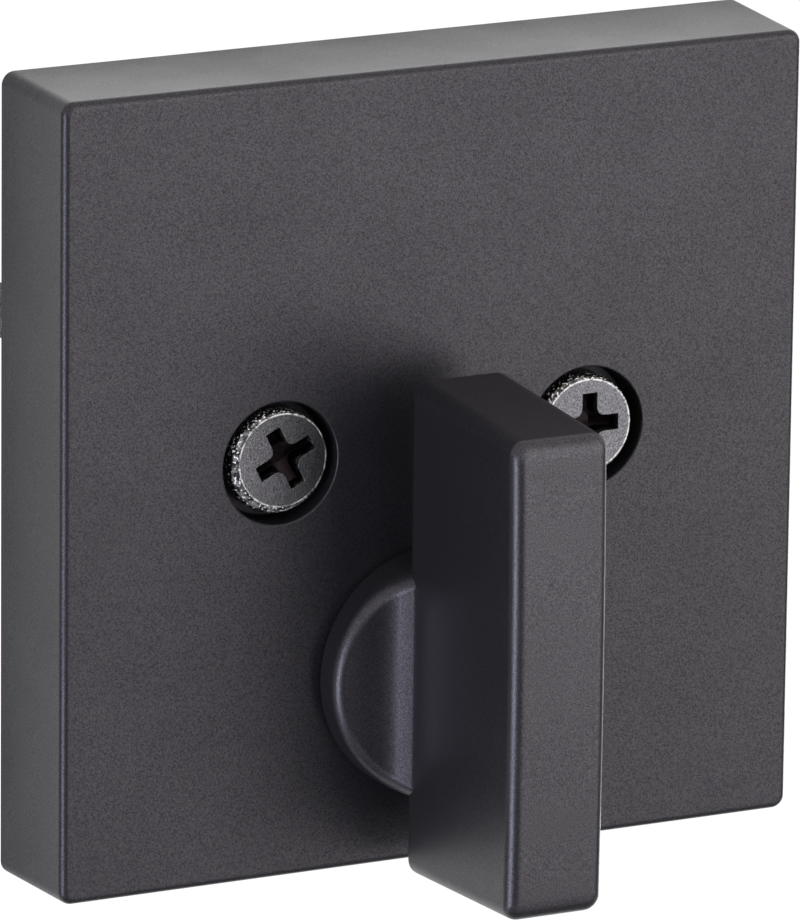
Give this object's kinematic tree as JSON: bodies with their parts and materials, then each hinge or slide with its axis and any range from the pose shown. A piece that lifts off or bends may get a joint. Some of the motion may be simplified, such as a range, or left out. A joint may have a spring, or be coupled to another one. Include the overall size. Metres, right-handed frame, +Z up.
{
  "type": "deadbolt thumb-turn trim",
  "caption": "Square inside rose of a deadbolt lock with a bar-shaped thumb turn, recessed mounting screws and a drive blade for the bolt.",
  "frame": {"origin": "centre of the square rose on the door face, at the mouth of the door's cross bore", "axes": "+X to the right and +Z up for someone in the room facing the door, +Y into the door; the thumb turn points along -Y"},
  "size_m": [0.0666, 0.0837, 0.0666],
  "materials": {
    "rose_finish": "matte black coated zinc casting with a fine grain",
    "turn_finish": "matte black coated zinc casting with a fine grain",
    "galvanised_plate": "zinc-plated steel sheet",
    "screw_plating": "grey zinc-plated steel",
    "plain_steel": "plain ground or spring steel",
    "nylon": "natural nylon"
  },
  "bodies": {
    "fixed_trim": {"rose_cover": "rose_finish", "mounting_plate": "galvanised_plate", "plate_screw_1": "screw_plating", "plate_screw_2": "screw_plating", "plate_screw_3": "screw_plating", "plate_screw_4": "screw_plating", "mounting_screw_left": "screw_plating", "mounting_screw_right": "screw_plating", "screw_retainer_left": "nylon", "screw_retainer_right": "nylon", "stop_pin_left": "plain_steel", "stop_pin_right": "plain_steel", "bearing_bush": "nylon"},
    "thumb_turn": {"turn_piece": "turn_finish", "stop_disc": "galvanised_plate", "wave_washer": "plain_steel", "thrust_washer": "plain_steel", "retaining_ring": "plain_steel", "drive_spigot": "plain_steel", "spigot_pin": "plain_steel", "torque_blade": "plain_steel", "blade_pin": "plain_steel"}
  },
  "joints": [
    {"name": "thumb_turn_spin", "type": "hinge", "parent": "fixed_trim", "child": "thumb_turn", "pos_m": [0, 0, -0.01675], "axis": [0, 1, 0], "range_deg": [-90, 90]}
  ]
}
